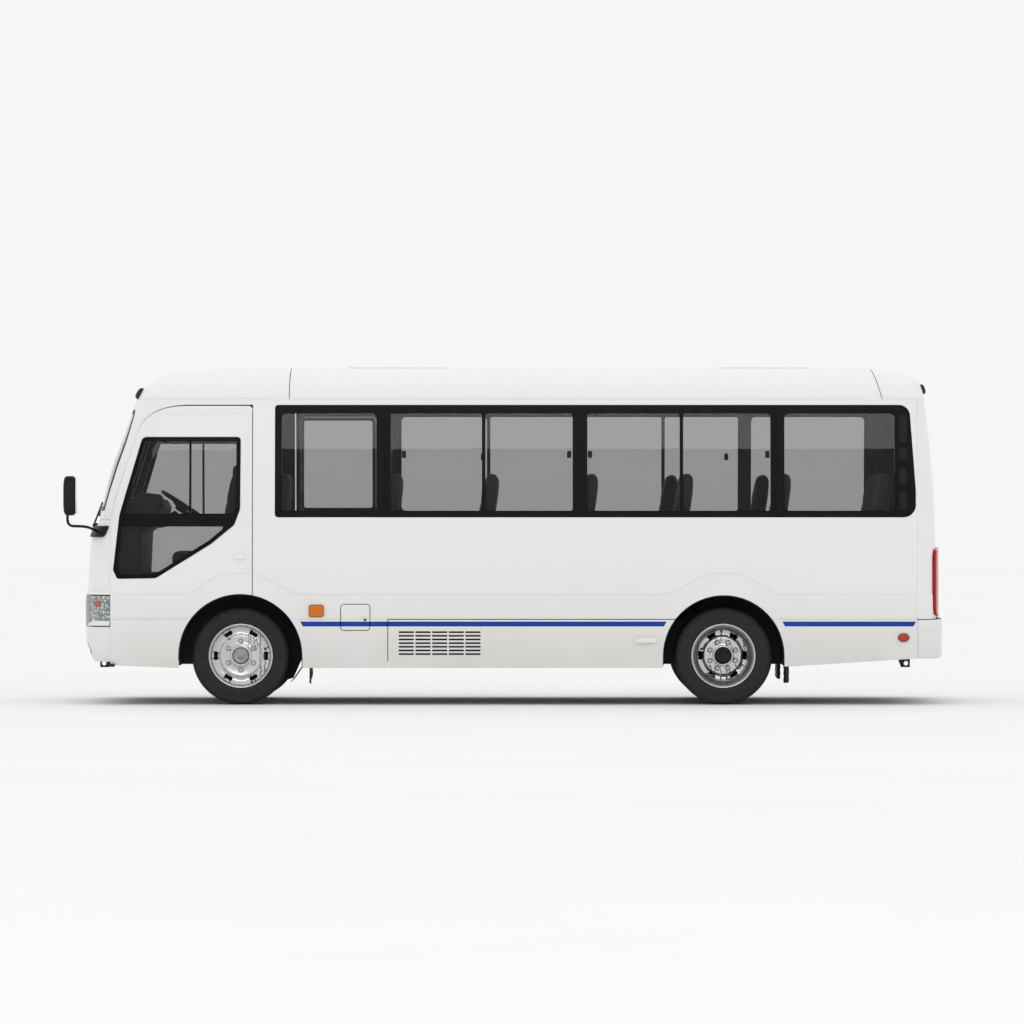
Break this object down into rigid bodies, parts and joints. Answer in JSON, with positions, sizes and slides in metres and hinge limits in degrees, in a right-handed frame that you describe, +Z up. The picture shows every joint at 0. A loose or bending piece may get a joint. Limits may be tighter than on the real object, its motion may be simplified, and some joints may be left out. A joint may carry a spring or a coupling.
{
  "type": "minibus",
  "caption": "White single-deck minibus with hinged driver's and entrance doors, tinted side windows, twin rear wheels, steered front wheels and a fully seated cabin.",
  "frame": {"origin": "on the ground under the centre of the whole vehicle's bounding box", "axes": "+X forward, +Y to the vehicle's left side, +Z up"},
  "size_m": [7.1408, 2.45, 2.758],
  "materials": {
    "body_paint": "gloss white enamel",
    "chassis_paint": "satin black",
    "cast_iron": "as cast",
    "exhaust_steel": "dull",
    "floor_covering": "ribbed matt",
    "clear_glass": "polished",
    "tinted_glass": "polished, grey tint",
    "black_trim": "satin black",
    "lamp_clear": "clear lens over chrome",
    "lamp_red": "red lens",
    "lamp_amber": "amber lens",
    "rubber": "matt",
    "cabin_plastic": "grained",
    "seat_cloth": "woven cloth",
    "rail_steel": "polished",
    "wheel_chrome": "polished",
    "tyre": "matt"
  },
  "bodies": {
    "body": {"chassis_frame": "chassis_paint", "cross_members": "chassis_paint", "engine": "cast_iron", "fuel_tank": "chassis_paint", "exhaust": "exhaust_steel", "propeller_shaft": "chassis_paint", "front_axle": "chassis_paint", "rear_axle": "chassis_paint", "leaf_springs": "chassis_paint", "floor": "floor_covering", "wheel_houses": "floor_covering", "engine_cover": "floor_covering", "entrance_steps": "floor_covering", "left_side_wall": "body_paint", "right_side_wall": "body_paint", "right_front_panel": "body_paint", "front_panel": "body_paint", "windscreen_pillars": "body_paint", "roof_panel": "body_paint", "roof_front_cap": "body_paint", "roof_rear_cap": "body_paint", "rear_panel": "body_paint", "front_bumper": "body_paint", "rear_bumper": "body_paint", "windscreen": "clear_glass", "windows": "tinted_glass", "window_frames": "black_trim", "headlights": "lamp_clear", "tail_lights": "lamp_red", "marker_lamps": "lamp_amber", "mirrors": "black_trim", "wipers": "black_trim", "mud_flaps": "rubber", "dashboard": "cabin_plastic", "driver_seat": "seat_cloth", "passenger_seats": "seat_cloth", "grab_rails": "rail_steel"},
    "driver_door": {"driver_door": "body_paint", "driver_door_glass": "tinted_glass"},
    "entrance_door": {"entrance_door": "body_paint", "entrance_door_glass": "tinted_glass"},
    "side_hatch": {"side_hatch": "body_paint"},
    "fuel_flap": {"fuel_flap": "body_paint"},
    "steering_wheel": {"steering_wheel": "cabin_plastic"},
    "front_left_knuckle": {"front_left_knuckle": "cast_iron"},
    "front_right_knuckle": {"front_right_knuckle": "cast_iron"},
    "front_left_wheel": {"front_left_wheel": "wheel_chrome", "front_left_tyre": "tyre"},
    "front_right_wheel": {"front_right_wheel": "wheel_chrome", "front_right_tyre": "tyre"},
    "rear_left_wheels": {"rear_left_wheels": "wheel_chrome", "rear_left_tyres": "tyre"},
    "rear_right_wheels": {"rear_right_wheels": "wheel_chrome", "rear_right_tyres": "tyre"}
  },
  "joints": [
    {"name": "front_left_steer", "type": "hinge", "parent": "body", "child": "front_left_knuckle", "pos_m": [2.144, 0.76, 0.396], "axis": [0, 0, 1], "range_deg": [-35, 35]},
    {"name": "front_right_steer", "type": "hinge", "parent": "body", "child": "front_right_knuckle", "pos_m": [2.144, -0.76, 0.396], "axis": [0, 0, 1], "range_deg": [-35, 35]},
    {"name": "steering_wheel_turn", "type": "hinge", "parent": "body", "child": "steering_wheel", "pos_m": [2.625, 0.52, 1.613], "axis": [-0.5446, 0, 0.8387], "range_deg": [-560, 560]},
    {"name": "front_left_spin", "type": "hinge", "parent": "front_left_knuckle", "child": "front_left_wheel", "pos_m": [2.144, 0.845, 0.396], "axis": [0, 1, 0], "continuous": true},
    {"name": "front_right_spin", "type": "hinge", "parent": "front_right_knuckle", "child": "front_right_wheel", "pos_m": [2.144, -0.845, 0.396], "axis": [0, 1, 0], "continuous": true},
    {"name": "rear_left_spin", "type": "hinge", "parent": "body", "child": "rear_left_wheels", "pos_m": [-1.772, 0.745, 0.396], "axis": [0, 1, 0], "continuous": true},
    {"name": "rear_right_spin", "type": "hinge", "parent": "body", "child": "rear_right_wheels", "pos_m": [-1.772, -0.745, 0.396], "axis": [0, 1, 0], "continuous": true},
    {"name": "driver_door_hinge", "type": "hinge", "parent": "body", "child": "driver_door", "pos_m": [3.199, 1.04, 1], "axis": [0, 0, -1], "range_deg": [0, 70]},
    {"name": "entrance_door_hinge", "type": "hinge", "parent": "body", "child": "entrance_door", "pos_m": [1.736, -1.034, 1], "axis": [0, 0, 1], "range_deg": [0, 85]},
    {"name": "side_hatch_hinge", "type": "hinge", "parent": "body", "child": "side_hatch", "pos_m": [-0.2, 1.036, 0.687], "axis": [1, 0, 0], "range_deg": [0, 80]},
    {"name": "fuel_flap_hinge", "type": "hinge", "parent": "body", "child": "fuel_flap", "pos_m": [1.32, 1.038, 0.71], "axis": [0, 0, -1], "range_deg": [0, 110]}
  ],
  "couplings": [
    {"joint": "front_right_steer", "follows": "front_left_steer", "ratio": 1},
    {"joint": "steering_wheel_turn", "follows": "front_left_steer", "ratio": 16}
  ]
}
